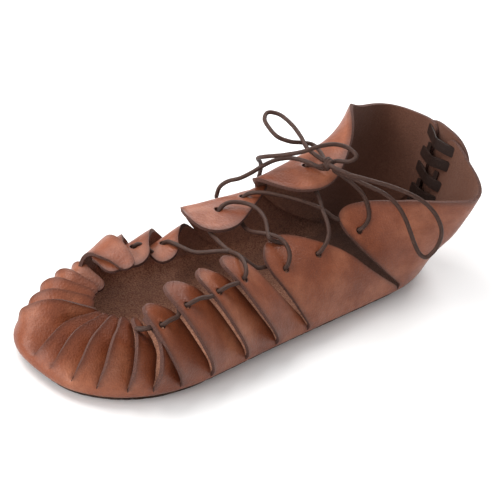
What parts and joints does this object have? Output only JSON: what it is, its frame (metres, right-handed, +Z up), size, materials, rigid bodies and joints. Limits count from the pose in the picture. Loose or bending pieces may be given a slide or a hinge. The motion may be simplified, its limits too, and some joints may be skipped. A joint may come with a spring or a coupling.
{
  "type": "medieval lace-up shoe",
  "caption": "Left medieval lace-up shoe, one slit piece of leather gathered over the foot by a round lace tied in a bow, open at the collar, throat and toe.",
  "frame": {"origin": "middle of the sole's flat underside, half way between heel and toe tip", "axes": "+X towards the heel, -Y towards the outer side of the foot, +Z up; the toe points towards -X"},
  "size_m": [0.272, 0.1032, 0.0889],
  "materials": {
    "brown_leather": "semi-gloss",
    "dark_suede": "rough suede",
    "black_thong": "satin",
    "dark_lace": "satin"
  },
  "bodies": {
    "root": {"upper": "brown_leather", "sole": "dark_suede", "heel_thong": "black_thong", "lace_gather_1": "dark_lace", "lace_gather_2": "dark_lace", "lace_gather_3": "dark_lace", "lace_gather_4": "dark_lace", "lace_gather_5": "dark_lace", "lace_crossing_1": "dark_lace", "lace_crossing_2": "dark_lace", "lace_crossing_3": "dark_lace", "lace_to_knot": "dark_lace", "lace_knot": "dark_lace", "bow_loop_up": "dark_lace", "bow_loop_near": "dark_lace", "lace_end_a": "dark_lace", "lace_end_b": "dark_lace"}
  },
  "joints": []
}
